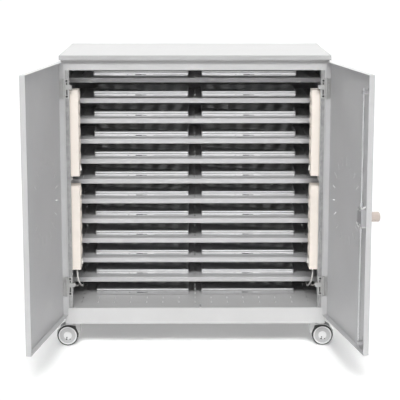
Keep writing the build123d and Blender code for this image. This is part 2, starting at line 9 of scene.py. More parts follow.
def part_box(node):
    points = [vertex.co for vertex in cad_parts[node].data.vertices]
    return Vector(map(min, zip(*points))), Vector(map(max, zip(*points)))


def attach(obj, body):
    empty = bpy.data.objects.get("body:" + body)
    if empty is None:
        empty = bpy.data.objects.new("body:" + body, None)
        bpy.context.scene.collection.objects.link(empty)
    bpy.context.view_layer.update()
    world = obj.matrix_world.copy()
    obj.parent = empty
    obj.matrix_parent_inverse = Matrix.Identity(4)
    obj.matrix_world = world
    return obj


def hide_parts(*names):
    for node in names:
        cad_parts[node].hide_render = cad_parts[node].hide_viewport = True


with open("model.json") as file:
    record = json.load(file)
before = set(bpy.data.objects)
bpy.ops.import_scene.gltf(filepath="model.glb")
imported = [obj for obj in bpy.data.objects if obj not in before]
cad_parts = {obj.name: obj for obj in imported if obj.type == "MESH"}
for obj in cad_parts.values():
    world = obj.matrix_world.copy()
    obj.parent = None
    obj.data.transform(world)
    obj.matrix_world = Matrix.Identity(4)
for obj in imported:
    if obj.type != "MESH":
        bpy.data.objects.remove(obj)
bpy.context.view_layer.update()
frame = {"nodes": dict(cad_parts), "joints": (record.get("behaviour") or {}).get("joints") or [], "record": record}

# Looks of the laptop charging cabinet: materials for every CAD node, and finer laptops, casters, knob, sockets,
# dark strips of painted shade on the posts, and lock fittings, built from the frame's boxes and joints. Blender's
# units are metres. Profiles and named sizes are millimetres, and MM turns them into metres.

NODES = frame["nodes"]
JOINTS = {joint["name"]: joint for joint in frame["joints"]}
MM = 0.001

# Camera: in front of the cabinet and a little to its left, tilted slightly down. Angles in radians
CAMERA_PLACE = (-0.0159, -4.872, 1.548)
CAMERA_PITCH = 0.1730
CAMERA_YAW = 0.0074
CAMERA_LENS = 112.9
CAMERA_SHIFT_Y = -0.1

# Light, as irradiance for the suns and radiance for the surroundings. Angles in degrees
KEY_AZIMUTH = 9.0
KEY_ELEVATION = 37.0
KEY_STRENGTH = 1.2
KEY_SPREAD = 14.0
TOP_ELEVATION = 75.0
TOP_STRENGTH = 2.5
TOP_SPREAD = 30.0
BACK_AZIMUTH = 40.0
BACK_ELEVATION = 35.0
BACK_STRENGTH = 0.8
BACK_SPREAD = 25.0
AMBIENT = 0.21
REFLECTED = 1.0
FLOOR_SUN_STRENGTH = 1.9
FLOOR_SUN_SPREAD = 12.0
FLOOR_GLOW = 0.16
FLOOR_SHADE = 0.9
FLOOR_RADIUS = 150.0


# ---------------------------------------------------------------- small helpers


def joint_pos(name):
    """Where a joint sits at rest, in metres."""
    return Vector(JOINTS[name]["pos_m"])


def mesh_object(name, bm, material, smooth=40.0):
    """An object from a bmesh, shaded smooth below an angle."""
    bmesh.ops.recalc_face_normals(bm, faces=bm.faces)
    mesh = bpy.data.meshes.new(name)
    bm.to_mesh(mesh)
    bm.free()
    mesh.shade_smooth()
    piece = bpy.data.objects.new(name, mesh)
    bpy.context.scene.collection.objects.link(piece)
    mesh.set_sharp_from_angle(angle=math.radians(smooth))
    mesh.materials.append(material)
    return piece


def joined(name, pieces):
    """One object from several, keeping their materials."""
    first = pieces[0]
    with bpy.context.temp_override(
        active_object=first, object=first, selected_objects=pieces, selected_editable_objects=pieces
    ):
        bpy.ops.object.join()
    first.name = name
    return first


def circle_ring(radius, z, segments=48):
    """Points of a circle about Z."""
    angles = [2 * math.pi * k / segments for k in range(segments)]
    return [Vector((radius * math.cos(a), radius * math.sin(a), z)) for a in angles]


def rounded_ring(width, depth, radius, z, steps=5):
    """Points of a rounded rectangle about Z."""
    points = []
    for side_x, side_y, start in ((1, 1, 0), (-1, 1, 90), (-1, -1, 180), (1, -1, 270)):
        for k in range(steps + 1):
            a = math.radians(start + 90 * k / steps)
            x = side_x * (width / 2 - radius) + radius * math.cos(a)
            y = side_y * (depth / 2 - radius) + radius * math.sin(a)
            points.append(Vector((x, y, z)))
    return points


def skinned(rings, closed=False):
    """A bmesh that joins each ring to the next. It is capped, or closed from last ring to first."""
    bm = bmesh.new()
    loops = [[bm.verts.new(point) for point in ring] for ring in rings]
    pairs = list(zip(loops, loops[1:]))
    if closed:
        pairs.append((loops[-1], loops[0]))
    for low, high in pairs:
        count = len(low)
        for k in range(count):
            after = (k + 1) % count
            bm.faces.new((low[k], low[after], high[after], high[k]))
    if not closed:
        bm.faces.new(list(reversed(loops[0])))
        bm.faces.new(loops[-1])
    return bm


def lathe(name, profile, material, place, segments=48, closed=False):
    """A turned piece. The profile is (radius, height) in millimetres, and place puts its Z axis."""
    bm = skinned([circle_ring(r * MM, h * MM, segments) for r, h in profile], closed)
    bm.transform(place)
    return mesh_object(name, bm, material, 35.0)


def slab(name, size, radius, profile, material, place=Matrix.Identity(4), steps=5):
    """A slab with rounded corners. The profile is (inset, height), and sizes are millimetres."""
    rings = []
    for inset, height in profile:
        corner = max(radius - inset, 0.2) * MM
        width = (size[0] - 2 * inset) * MM
        depth = (size[1] - 2 * inset) * MM
        rings.append(rounded_ring(width, depth, corner, height * MM, steps))
    bm = skinned(rings)
    bm.transform(place)
    return mesh_object(name, bm, material, 35.0)


def plate(name, outline, thickness, material, place):
    """A flat piece with any outline, given in millimetres about Z and centred on Z = 0."""
    rings = []
    for z in (-thickness / 2, thickness / 2):
        rings.append([Vector((x * MM, y * MM, z * MM)) for x, y in outline])
    bm = skinned(rings)
    bm.transform(place)
    return mesh_object(name, bm, material, 30.0)


def arc(radius, start, end, steps=16):
    """Points along a circle about the origin, between two angles in degrees."""
    angles = [math.radians(start + (end - start) * k / steps) for k in range(steps + 1)]
    return [(radius * math.cos(a), radius * math.sin(a)) for a in angles]


def bar(name, start, end, radius, material, segments=16):
    """A round bar between two points, with its ends rounded off. The radius is in millimetres."""
    length = (end - start).length * 1000
    tip = [(0.4 * radius, 0), (0.8 * radius, 0.15 * radius), (radius, 0.6 * radius)]
    profile = tip + [(r, length - h) for r, h in reversed(tip)]
    return lathe(name, profile, material, turned_to(end - start, start), segments)


def softened(height, edge):
    """Profile of a slab whose top and bottom edges are rounded off."""
    return [(edge, 0), (0.3 * edge, 0.3 * edge), (0, edge), (0, height - edge),
            (0.3 * edge, height - 0.3 * edge), (edge, height)]


def carved(piece, cutters):
    """Takes the cutters out of a piece. The cut faces keep the cutters' material."""
    tool = joined("cutter", cutters)
    cut = piece.modifiers.new("cut", "BOOLEAN")
    cut.operation = "DIFFERENCE"
    cut.solver = "EXACT"
    cut.use_self = True
    cut.material_mode = "TRANSFER"
    cut.object = tool
    graph = bpy.context.evaluated_depsgraph_get()
    mesh = bpy.data.meshes.new_from_object(piece.evaluated_get(graph))
    piece.modifiers.clear()
    piece.data = mesh
    mesh.set_sharp_from_angle(angle=math.radians(35))
    bpy.data.objects.remove(tool)
    return piece


def turned_to(axis, place):
    """A placement whose local Z points along an axis."""
    turn = Vector(axis).to_track_quat("Z", "Y").to_matrix().to_4x4()
    return Matrix.Translation(place) @ turn


def facing_size(place, wide, high):
    """A size along a placement's own X and Y, from one across the cabinet and one up it."""
    runs_across = abs((place.to_3x3() @ Vector((1, 0, 0))).x) > 0.5
    return (wide, high) if runs_across else (high, wide)


def finish_piece(piece, body, slot, *replaced):
    """Puts a piece on its body and hides the CAD nodes that it stands in for. The slot argument is not used."""
    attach(piece, body)
    if replaced:
        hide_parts(*replaced)
    return piece


# ---------------------------------------------------------------- materials


def new_material(name, colour, roughness, metallic=0.0):
    """A material and its shader, before any texture is added."""
    material = bpy.data.materials.new(name)
    material.use_nodes = True
    shader = material.node_tree.nodes["Principled BSDF"]
    shader.inputs["Base Color"].default_value = (*colour, 1)
    shader.inputs["Roughness"].default_value = roughness
    shader.inputs["Metallic"].default_value = metallic
    return material, shader


def node(material, kind):
    """A new shader node in a material."""
    return material.node_tree.nodes.new(kind)


def link(material, source, target):
    material.node_tree.links.new(source, target)


def noise(material, scale, detail=3.0, stretch=(1, 1, 1)):
    """A noise value in object space, with its grain drawn out along an axis if wanted."""
    place = node(material, "ShaderNodeTexCoord")
    mapping = node(material, "ShaderNodeMapping")
    mapping.inputs["Scale"].default_value = stretch
    texture = node(material, "ShaderNodeTexNoise")
    texture.inputs["Scale"].default_value = scale
    texture.inputs["Detail"].default_value = detail
    link(material, place.outputs["Object"], mapping.inputs["Vector"])
    link(material, mapping.outputs["Vector"], texture.inputs["Vector"])
    return texture.outputs["Fac"]


def ramp(material, value, low, high, ends=(0.3, 0.7)):
    """Maps a 0 to 1 value to a span, between two stops."""
    mapped = node(material, "ShaderNodeMapRange")
    mapped.inputs["From Min"].default_value = ends[0]
    mapped.inputs["From Max"].default_value = ends[1]
    mapped.inputs["To Min"].default_value = low
    mapped.inputs["To Max"].default_value = high
    link(material, value, mapped.inputs["Value"])
    return mapped.outputs["Result"]


def tinted(material, shader, colour, value, spread):
    """Base colour that varies by a small share around its mean."""
    mix = node(material, "ShaderNodeMix")
    mix.data_type = "RGBA"
    mix.inputs["A"].default_value = (*[c * (1 - spread) for c in colour], 1)
    mix.inputs["B"].default_value = (*[min(1.0, c * (1 + spread)) for c in colour], 1)
    link(material, value, mix.inputs["Factor"])
    link(material, mix.outputs["Result"], shader.inputs["Base Color"])


def glossed(material, shader, value, low, high):
    """Roughness that varies between two ends."""
    link(material, ramp(material, value, low, high), shader.inputs["Roughness"])


def bumped(material, shader, value, strength, distance):
    """Fine relief in the surface, with its depth in metres."""
    bump = node(material, "ShaderNodeBump")
    bump.inputs["Strength"].default_value = strength
    bump.inputs["Distance"].default_value = distance
    link(material, value, bump.inputs["Height"])
    link(material, bump.outputs["Normal"], shader.inputs["Normal"])


def powder_coat(name, colour, roughness=0.42):
    """Stoved powder paint: orange peel, faint clouding and uneven gloss."""
    material, shader = new_material(name, colour, roughness)
    clouds = noise(material, 7.0, 4.0)
    peel = noise(material, 900.0, 2.0)
    tinted(material, shader, colour, ramp(material, clouds, 0, 1), 0.02)
    glossed(material, shader, peel, roughness - 0.06, roughness + 0.08)
    bumped(material, shader, peel, 0.12, 0.0003)
    return material


def plated_steel(name, colour, roughness=0.3, metallic=1.0):
    """Zinc or nickel plate with fine drawn lines."""
    material, shader = new_material(name, colour, roughness, metallic)
    grain = noise(material, 220.0, 3.0, (1, 1, 0.06))
    tinted(material, shader, colour, ramp(material, grain, 0, 1), 0.05)
    glossed(material, shader, grain, roughness - 0.08, roughness + 0.1)
    bumped(material, shader, grain, 0.08, 0.0002)
    return material


def moulded_plastic(name, colour, roughness):
    """Moulded plastic with a fine spark-eroded grain."""
    material, shader = new_material(name, colour, roughness)
    grain = noise(material, 1400.0, 2.0)
    clouds = noise(material, 18.0, 3.0)
    tinted(material, shader, colour, ramp(material, clouds, 0, 1), 0.025)
    glossed(material, shader, grain, roughness - 0.05, roughness + 0.08)
    bumped(material, shader, grain, 0.15, 0.0002)
    return material


def dark_rubber(name, colour):
    """Dull rubber with scuffs. It also serves for the dark strips of painted shade on the posts."""
    material, shader = new_material(name, colour, 0.7)
    shader.inputs["Specular IOR Level"].default_value = 0.25
    scuffs = noise(material, 60.0, 6.0)
    grain = noise(material, 1100.0, 2.0)
    tinted(material, shader, colour, ramp(material, scuffs, 0, 1), 0.18)
    glossed(material, shader, scuffs, 0.6, 0.85)
    bumped(material, shader, grain, 0.2, 0.0003)
    return material


def blasted_aluminium(name, colour, metallic=0.95, roughness=0.22):
    """Bead-blasted metal, as on a laptop's shell or a knob."""
    material, shader = new_material(name, colour, roughness, metallic)
    beads = noise(material, 2400.0, 2.0)
    clouds = noise(material, 12.0, 3.0)
    tinted(material, shader, colour, ramp(material, clouds, 0, 1), 0.015)
    glossed(material, shader, beads, roughness - 0.05, roughness + 0.07)
    bumped(material, shader, beads, 0.02, 0.0001)
    return material


CABINET_PAINT = powder_coat("cabinet_paint", (0.57, 0.57, 0.57))
SHELF_PAINT = powder_coat("shelf_paint", (0.55, 0.55, 0.555))
DOOR_PAINT = powder_coat("door_paint", (0.56, 0.56, 0.565))
WORKTOP_PAINT = powder_coat("worktop_paint", (0.47, 0.47, 0.47))
HINGE_STEEL = plated_steel("hinge_steel", (0.56, 0.56, 0.55), 0.35, 0.8)
DARK_SCREW = plated_steel("dark_screw", (0.05, 0.05, 0.05), 0.4, 0.6)
CASE_ZINC = plated_steel("lock_case_zinc", (0.40, 0.40, 0.41), 0.38, 0.7)
ROD_STEEL = plated_steel("rod_steel", (0.66, 0.66, 0.67), 0.25, 0.9)
KNOB_NICKEL = blasted_aluminium("knob_nickel", (0.62, 0.54, 0.49), 0.7, 0.3)
STRIP_PLASTIC = moulded_plastic("strip_plastic", (0.90, 0.83, 0.76), 0.5)
ROCKER_PLASTIC = moulded_plastic("rocker_plastic", (0.92, 0.90, 0.86), 0.28)
LEAD_SHEATH = moulded_plastic("lead_sheath", (0.80, 0.79, 0.76), 0.45)
INLET_PLASTIC = moulded_plastic("inlet_plastic", (0.03, 0.03, 0.03), 0.45)
LAPTOP_SHELL = blasted_aluminium("laptop_shell", (0.84, 0.84, 0.85))
CASTER_BODY = moulded_plastic("caster_body", (0.62, 0.62, 0.62), 0.45)
HUB_PLASTIC = moulded_plastic("hub_plastic", (0.84, 0.84, 0.84), 0.3)
TYRE = dark_rubber("tyre", (0.045, 0.045, 0.045))
PORT_DARK = moulded_plastic("port_dark", (0.03, 0.03, 0.032), 0.5)
SEAM_GREY = moulded_plastic("seam_grey", (0.22, 0.22, 0.22), 0.5)
# Dark paint that stands for the shade falling on the posts beside the doorway.
POST_SHADE_PAINT = dark_rubber("painted_post_shade", (0.33, 0.33, 0.33))
# Near-black painted shadow for the caster hoods: the line along each hood's top and the wedge between wheel and
# neck.
CASTER_SHADE = moulded_plastic("caster_shade", (0.035, 0.035, 0.035), 0.5)
HUB_DISH = moulded_plastic("hub_dish", (0.54, 0.54, 0.54), 0.4)
BRIGHT_STEEL = plated_steel("bright_steel", (0.80, 0.80, 0.79), 0.3, 0.35)

SLOT_MATERIALS = {
    "cabinet_paint": CABINET_PAINT, "shelf_paint": SHELF_PAINT, "door_paint": DOOR_PAINT,
    "worktop_paint": WORKTOP_PAINT, "hinge_steel": HINGE_STEEL, "dark_screw": DARK_SCREW,
    "lock_case_zinc": CASE_ZINC, "rod_steel": ROD_STEEL, "knob_nickel": KNOB_NICKEL,
    "strip_plastic": STRIP_PLASTIC, "rocker_plastic": ROCKER_PLASTIC, "lead_sheath": LEAD_SHEATH,
    "inlet_plastic": INLET_PLASTIC, "laptop_shell": LAPTOP_SHELL, "caster_body": CASTER_BODY,
    "hub_plastic": HUB_PLASTIC, "tyre": TYRE,
}


def paint_cad_nodes():
    """Every CAD node gets the material of its record slot."""
    slots = {part["node"]: part["material_slot"] for part in frame["record"]["subparts"]}
    for name, cad in NODES.items():
        cad.data.materials.clear()
        cad.data.materials.append(SLOT_MATERIALS[slots[name]])


# ---------------------------------------------------------------- studio


def add_sun(name, azimuth, elevation, strength, angle):
    """A wide sun. Azimuth 0 shines from the front, and 180 from behind."""
    lamp = bpy.data.lights.new(name, "SUN")
    lamp.energy = strength
    lamp.angle = math.radians(angle)
    holder = bpy.data.objects.new(name, lamp)
    holder.visible_glossy = False
    a, e = math.radians(azimuth), math.radians(elevation)
    towards = Vector((math.sin(a) * math.cos(e), -math.cos(a) * math.cos(e), math.sin(e)))
    holder.rotation_euler = towards.to_track_quat("Z", "Y").to_euler()
    bpy.context.scene.collection.objects.link(holder)
    return holder


def build_studio():
    """White surroundings, a pale floor, and suns from the front, the top and behind.

    The top and back suns leave the floor out, so the cabinet throws no shadow forwards on it. A
    sun of its own lights the floor instead.
    """
    build_surroundings()
    floor = build_floor()
    spared = receivers("cabinet_only", floor, "EXCLUDE")
    for side in (-1, 1):
        add_sun("key", side * KEY_AZIMUTH, KEY_ELEVATION, KEY_STRENGTH, KEY_SPREAD)
        behind = 180 + side * BACK_AZIMUTH
        back = add_sun("back", behind, BACK_ELEVATION, BACK_STRENGTH, BACK_SPREAD)
        back.light_linking.receiver_collection = spared
    top = add_sun("top", 180, TOP_ELEVATION, TOP_STRENGTH, TOP_SPREAD)
    top.light_linking.receiver_collection = spared
    fill = add_sun("floor_fill", 0, KEY_ELEVATION, FLOOR_SUN_STRENGTH, FLOOR_SUN_SPREAD)
    fill.light_linking.receiver_collection = receivers("floor_only", floor, "INCLUDE")


def build_surroundings():
    """A white world, dimmer for diffuse light than for what is seen or mirrored."""
    world = bpy.data.worlds.new("studio")
    bpy.context.scene.world = world
    world.use_nodes = True
    tree = world.node_tree
    tree.nodes.clear()
    path = tree.nodes.new("ShaderNodeLightPath")
    shown = background(tree, AMBIENT)
    for ray, strength in (("Is Glossy Ray", REFLECTED), ("Is Camera Ray", 1.0)):
        mix = tree.nodes.new("ShaderNodeMixShader")
        tree.links.new(path.outputs[ray], mix.inputs["Fac"])
        tree.links.new(shown, mix.inputs[1])
        tree.links.new(background(tree, strength), mix.inputs[2])
        shown = mix.outputs["Shader"]
    out = tree.nodes.new("ShaderNodeOutputWorld")
    tree.links.new(shown, out.inputs["Surface"])


def background(tree, strength):
    """The output of a white background of a given strength."""
    made = tree.nodes.new("ShaderNodeBackground")
    made.inputs["Color"].default_value = (1, 1, 1, 1)
    made.inputs["Strength"].default_value = strength
    return made.outputs["Background"]


def receivers(name, floor, state):
    """A collection that keeps a light off the floor, or on nothing else."""
    group = bpy.data.collections.new(name)
    group.objects.link(floor)
    group.collection_objects[0].light_linking.link_state = state
    return group


def build_floor():
    """A wide pale disc that glows a little, so that it fades into the surroundings."""
    material, shader = new_material("floor", (FLOOR_SHADE,) * 3, 0.9)
    shader.inputs["Emission Color"].default_value = (1, 1, 1, 1)
    shader.inputs["Emission Strength"].default_value = FLOOR_GLOW
    grain = noise(material, 2.0, 4.0)
    tinted(material, shader, (FLOOR_SHADE,) * 3, grain, 0.01)
    bm = bmesh.new()
    bmesh.ops.create_circle(bm, cap_ends=True, segments=96, radius=FLOOR_RADIUS)
    floor = mesh_object("floor", bm, material)
    return floor


def build_camera():
    """The camera. Its shift keeps the cabinet where it should stand in the picture."""
    camera = bpy.data.objects.new("camera", bpy.data.cameras.new("camera"))
    camera.data.lens = CAMERA_LENS
    camera.data.shift_y = CAMERA_SHIFT_Y
    camera.data.clip_end = 400.0
    camera.location = CAMERA_PLACE
    camera.rotation_euler = (math.pi / 2 - CAMERA_PITCH, 0, -CAMERA_YAW)
    bpy.context.scene.collection.objects.link(camera)
    bpy.context.scene.camera = camera
    bpy.context.scene.view_settings.view_transform = "Standard"


# ---------------------------------------------------------------- CAD edges


def soften_edges(name, width):
    """Rounds a CAD node's sharp edges with modifiers, and leaves its mesh alone."""
    cad = NODES[name]
    weld = cad.modifiers.new("weld", "WELD")
    weld.merge_threshold = 1e-6
    bevel = cad.modifiers.new("bevel", "BEVEL")
    bevel.width = width * MM
    bevel.segments = 2
    bevel.limit_method = "ANGLE"
    bevel.angle_limit = math.radians(40)
    bevel.use_clamp_overlap = True
    normals = cad.modifiers.new("normals", "WEIGHTED_NORMAL")
    normals.keep_sharp = True


# ---------------------------------------------------------------- laptops

LEVELS = 12
LAPTOP_CORNER = 5.0
LAPTOP_BASE_PROFILE = [(4.0, 1.4), (1.0, 1.6), (0.2, 2.2), (0.0, 3.0), (0.0, 15.9), (0.3, 16.3)]
LAPTOP_LID_PROFILE = [(0.5, 17.8), (0.0, 18.3), (0.0, 22.8), (0.3, 23.6), (1.0, 24.0)]
LAPTOP_SEAM_PROFILE = [(1.8, 15.8), (1.8, 18.2)]
LAPTOP_FOOT_PROFILE = [(6.2, 0), (6.8, 0.5), (7.0, 2.8)]
LAPTOP_FEET = (0.41, 0.38)
LAPTOP_HINGE_RADIUS = 4.6
PORT_HEIGHT = 9.6
# Front recesses: middle across, width, depth into the base, height
FRONT_RECESSES = [(-9, 26, 4, 3.0), (13, 15, 2, 1.8), (111, 127, 6, 1.0)]
FRONT_HOLE_X = -51
# Side ports: middle along the side, length, height
SIDE_PORTS = [(-60, 14, 6.0), (-30, 14, 6.0), (5, 17, 3.0), (40, 13, 8.0)]
SIDE_PORT_DEPTH = 8


def laptop_cutters(width, depth):
    """Recesses along the front edge and ports along the two sides of a laptop's base."""
    front = -depth / 2 * 1000
    half = width / 2 * 1000
    hole = turned_to((0, -1, 0), (FRONT_HOLE_X * MM, front * MM, PORT_HEIGHT * MM))
    cuts = [lathe("cut", [(1.5, -2), (1.5, 2)], PORT_DARK, hole, 16)]
    recesses = [(x, front, wide, deep, high) for x, wide, deep, high in FRONT_RECESSES]
    for side in (-1, 1):
        for along, length, high in SIDE_PORTS:
            recesses.append((side * half, along, SIDE_PORT_DEPTH, length, high))
    for x, y, wide, deep, high in recesses:
        place = Matrix.Translation((x * MM, y * MM, (PORT_HEIGHT - high / 2) * MM))
        cuts.append(slab("cut", (wide, deep), 0.4, [(0, 0), (0, high)], PORT_DARK, place, 2))
    return cuts


def laptop_mesh(width, depth):
    """One closed laptop about its own middle: base, seam, lid, hinge bar and feet."""
    size = (width * 1000, depth * 1000)
    base = slab("laptop", size, LAPTOP_CORNER, LAPTOP_BASE_PROFILE, LAPTOP_SHELL)
    base.data.materials.append(PORT_DARK)
    parts = [
        carved(base, laptop_cutters(width, depth)),
        slab("lid", size, LAPTOP_CORNER, LAPTOP_LID_PROFILE, LAPTOP_SHELL),
        slab("seam", size, LAPTOP_CORNER, LAPTOP_SEAM_PROFILE, SEAM_GREY),
        laptop_hinge(width, depth),
    ]
    for x in (-1, 1):
        for y in (-1, 1):
            spot = (x * LAPTOP_FEET[0] * width, y * LAPTOP_FEET[1] * depth, 0)
            foot = Matrix.Translation(spot)
            parts.append(lathe("foot", LAPTOP_FOOT_PROFILE, PORT_DARK, foot, 20))
    pattern = joined("laptop", parts)
    mesh = pattern.data
    bpy.data.objects.remove(pattern)
    return mesh


def laptop_hinge(width, depth):
    """The round hinge bar along the rear edge, over the middle two thirds of the width."""
    length = 680 * width
    radius = LAPTOP_HINGE_RADIUS
    profile = [(radius - 0.6, 0), (radius, 0.6), (radius, length - 0.6), (radius - 0.6, length)]
    start = (-length / 2 * MM, depth / 2 - 5.5 * MM, 15.8 * MM)
    return lathe("hinge", profile, PORT_DARK, turned_to((1, 0, 0), start), 20)


def build_laptops():
    """Two laptops on the floor and on each shelf. They share one mesh."""
    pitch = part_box("shelf_02")[1].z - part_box("shelf_01")[1].z
    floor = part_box("floor_pan")[1].z
    mesh = None
    for hand in ("left", "right"):
        low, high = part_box(f"laptops_{hand}")
        if mesh is None:
            mesh = laptop_mesh(high.x - low.x, high.y - low.y)
        for level in range(LEVELS):
            piece = bpy.data.objects.new(f"laptop_{hand}_{level + 1:02d}", mesh)
            bpy.context.scene.collection.objects.link(piece)
            piece.location = ((low.x + high.x) / 2, (low.y + high.y) / 2, floor + level * pitch)
            replaced = [f"laptops_{hand}"] if level == 0 else []
            finish_piece(piece, "cabinet", "laptop_shell", *replaced)


# ---------------------------------------------------------------- casters

TYRE_PROFILE = [(35.4, 0.3), (38.3, 0.3), (39.5, 1.2), (40.0, 2.8), (40.0, 9.2), (39.5, 10.8),
                (38.3, 11.7), (35.4, 11.7)]
RIM_PROFILE = [(20.0, 0.2), (34.0, 0.2), (35.4, 1.2), (35.4, 11.4), (34.6, 12.0), (32.4, 12.0),
               (31.2, 11.2), (30.4, 9.0), (30.0, 7.0), (20.0, 7.0)]
DISH_PROFILE = [(10.0, 6.0), (30.2, 6.0), (30.2, 8.8), (26.0, 8.0), (21.0, 8.4), (17.0, 9.8),
                (10.0, 9.8)]
DOME_PROFILE = [(5.0, 0.2), (16.0, 0.2), (16.0, 9.6), (14.6, 10.6), (11.0, 11.6), (6.0, 12.0),
                (1.0, 12.0)]
WHEEL_GAP = 4.0
# Near-black patches of painted shadow where notches sit in the hub's face: across, up, width, height
HUB_NOTCH_SHADOWS = [(-3.3, -7.0, 5.0, 5.5), (-4.8, -14.0, 6.5, 5.0), (8.5, -14.0, 5.0, 3.5)]
NOTCH_RISE = 10.6
# Outlines about the wheel's axle: towards the caster's stem, up
HOOD_TOP = [(-27.0, 35.0), (-20.0, 40.6), (-12.0, 44.9), (-3.0, 47.4), (8.0, 48.4), (20.0, 48.2)]
# Outline of a near-black wedge of painted shadow inside the fork, between the wheel and the neck.
SHADOW_WEDGE_OUTER = [(41.4, 4.0), (41.3, 12.0), (38.5, 20.0), (35.0, 28.0), (32.5, 34.0), (31.5, 40.5),
               (24.0, 41.5), (14.0, 42.6), (4.0, 43.2), (-8.0, 42.6), (-18.0, 38.6)]
HOOD_UNDER = (44.0, 65, 128)
SHADOW_WEDGE_INNER = (41.0, 114, 6, 24)
FORK_WIDTH = 34.0


def build_wheels():
    """Two turned tyres and hubs for each caster, and the hood over them."""
    for corner in ("front_left", "front_right", "rear_left", "rear_right"):
        centre = joint_pos(f"wheel_{corner}_spin")
        body = f"wheel_{corner}"
        tyres, hubs = [], []
        for side in (-1, 1):
            place = turned_to((0, side, 0), centre + Vector((0, side * WHEEL_GAP * MM, 0)))
            tyres.append(lathe("tyre", TYRE_PROFILE, TYRE, place, 72, closed=True))
            hubs += hub(place, centre, side)
        tyre_pair = joined(f"caster_tyre_pair_{corner}", tyres)
        finish_piece(tyre_pair, body, "tyre", f"caster_tyres_{corner}")
        hub_pair = joined(f"caster_hub_pair_{corner}", hubs)
        finish_piece(hub_pair, body, "hub_plastic", f"caster_hubs_{corner}")
        soften_edges(f"caster_fork_{corner}", 0.9)
        build_hood(corner, centre, joint_pos(f"swivel_{corner}"))


def hub(place, centre, side):
    """One hub: bright rim, grey dish, domed middle, and under it three near-black patches of painted shadow
    standing for notches.
    """
    pieces = [lathe("rim", RIM_PROFILE, HUB_PLASTIC, place, 72, closed=True),
              lathe("dish", DISH_PROFILE, HUB_DISH, place, 72, closed=True),
              lathe("dome", DOME_PROFILE, HUB_PLASTIC, place, 72)]
    face = WHEEL_GAP + NOTCH_RISE
    for x, z, wide, high in HUB_NOTCH_SHADOWS:
        spot = turned_to((0, side, 0), centre + Vector((-side * x * MM, side * face * MM, z * MM)))
        size = facing_size(spot, wide, high)
        # Each patch is raised, not cut in: its near-black colour is painted shadow for a notch.
        pieces.append(slab("painted_notch_shadow", size, 1.4, [(0, 0), (0.3, 1.5)], PORT_DARK, spot, 3))
    return pieces


def build_hood(corner, centre, stem):
    """The hood's raised top, a thin near-black band of painted shadow along its top edge, and a near-black wedge
    of painted shadow between the wheel and the neck.
    """
    towards = 1 if stem.x > centre.x else -1
    upright = Matrix(((towards, 0, 0, 0), (0, 0, -1, 0), (0, 1, 0, 0), (0, 0, 0, 1)))
    place = Matrix.Translation(centre) @ upright
    crown = plate("crown", HOOD_TOP + arc(*HOOD_UNDER), FORK_WIDTH, CASTER_BODY, place)
    # A thin near-black band along the hood's top: the painted shadow line between the hood and the plinth.
    shadow_line_top = [(x * 1.03, z * 1.03) for x, z in reversed(HOOD_TOP)]
    edge = plate("edge", HOOD_TOP + shadow_line_top, FORK_WIDTH + 0.6, CASTER_SHADE, place)
    # A near-black wedge of painted shadow inside the fork, between the wheel and the neck.
    shadow_wedge_outline = SHADOW_WEDGE_OUTER + arc(*SHADOW_WEDGE_INNER)
    shadow_wedge = plate("shadow_wedge", shadow_wedge_outline, FORK_WIDTH + 0.8, CASTER_SHADE, place)
    hood = joined(f"caster_hood_{corner}", [crown, edge, shadow_wedge])
    finish_piece(hood, f"caster_{corner}", "caster_body")


# ---------------------------------------------------------------- knob and lock

KNOB_LENGTH = 34.0
GRIP_RADIUS = 10.0
KNOB_PROFILE = [(6.0, 0.0), (15.6, 0.0), (16.6, 0.6), (17.0, 1.6), (17.0, 3.2), (16.2, 3.8),
                (16.2, 4.6), (17.0, 5.2), (17.0, 29.0), (16.7, 30.6), (15.6, 32.2),
                (13.8, 33.4), (11.0, 33.9), (1.0, KNOB_LENGTH)]


def build_knob():
    """Turned knob with a groove near its foot, on its spindle. It stands in for the CAD knob."""
    axis, inner, outer = knob_ends()
    pivot = joint_pos("lock_knob_turn")
    foot = pivot + axis * (outer - KNOB_LENGTH * MM)
    knob = lathe("knob", KNOB_PROFILE, KNOB_NICKEL, turned_to(axis, foot), 64)
    reach = (outer - inner) * 1000 - KNOB_LENGTH + 0.5
    tail = turned_to(axis, pivot + axis * inner)
    spindle = lathe("spindle", [(4.9, 0), (5.0, 0.2), (5.0, reach)], ROD_STEEL, tail, 24)
    finish_piece(joined("door_knob", [knob, spindle]), "lock_knob", "knob_nickel", "lock_knob")


def knob_ends():
    """The knob's axis, pointing out of the door, and how far the CAD knob reaches along it."""
    pivot = joint_pos("lock_knob_turn")
    axis = Vector(JOINTS["lock_knob_turn"]["axis"])
    corners = [Vector(v.co) for v in NODES["lock_knob"].data.vertices]
    along = [(corner - pivot).dot(axis) for corner in corners]
    grip = []
    for reach, corner in zip(along, corners):
        if (corner - pivot - axis * reach).length > GRIP_RADIUS * MM:
            grip.append(reach)
    if sum(grip) < 0:
        return -axis, -max(along), -min(along)
    return axis, min(along), max(along)


# ---------------------------------------------------------------- power

SOCKETS = 6
SOCKET_PITCH = 45.8
SOCKET_DEPTH = 14.0
SOCKET_RIM_PROFILE = [(17.6, -1.0), (19.0, -1.0), (19.0, 0.1), (21.2, 0.1), (21.2, 1.4),
                      (20.6, 2.0), (19.0, 2.1), (18.0, 1.4)]
CONTACT_PROFILE = [(1.9, 0), (2.5, 0), (2.5, 1.4), (1.9, 1.4)]
CONTACT_OFFSET = 9.5
CLIP_OFFSET = 17.6


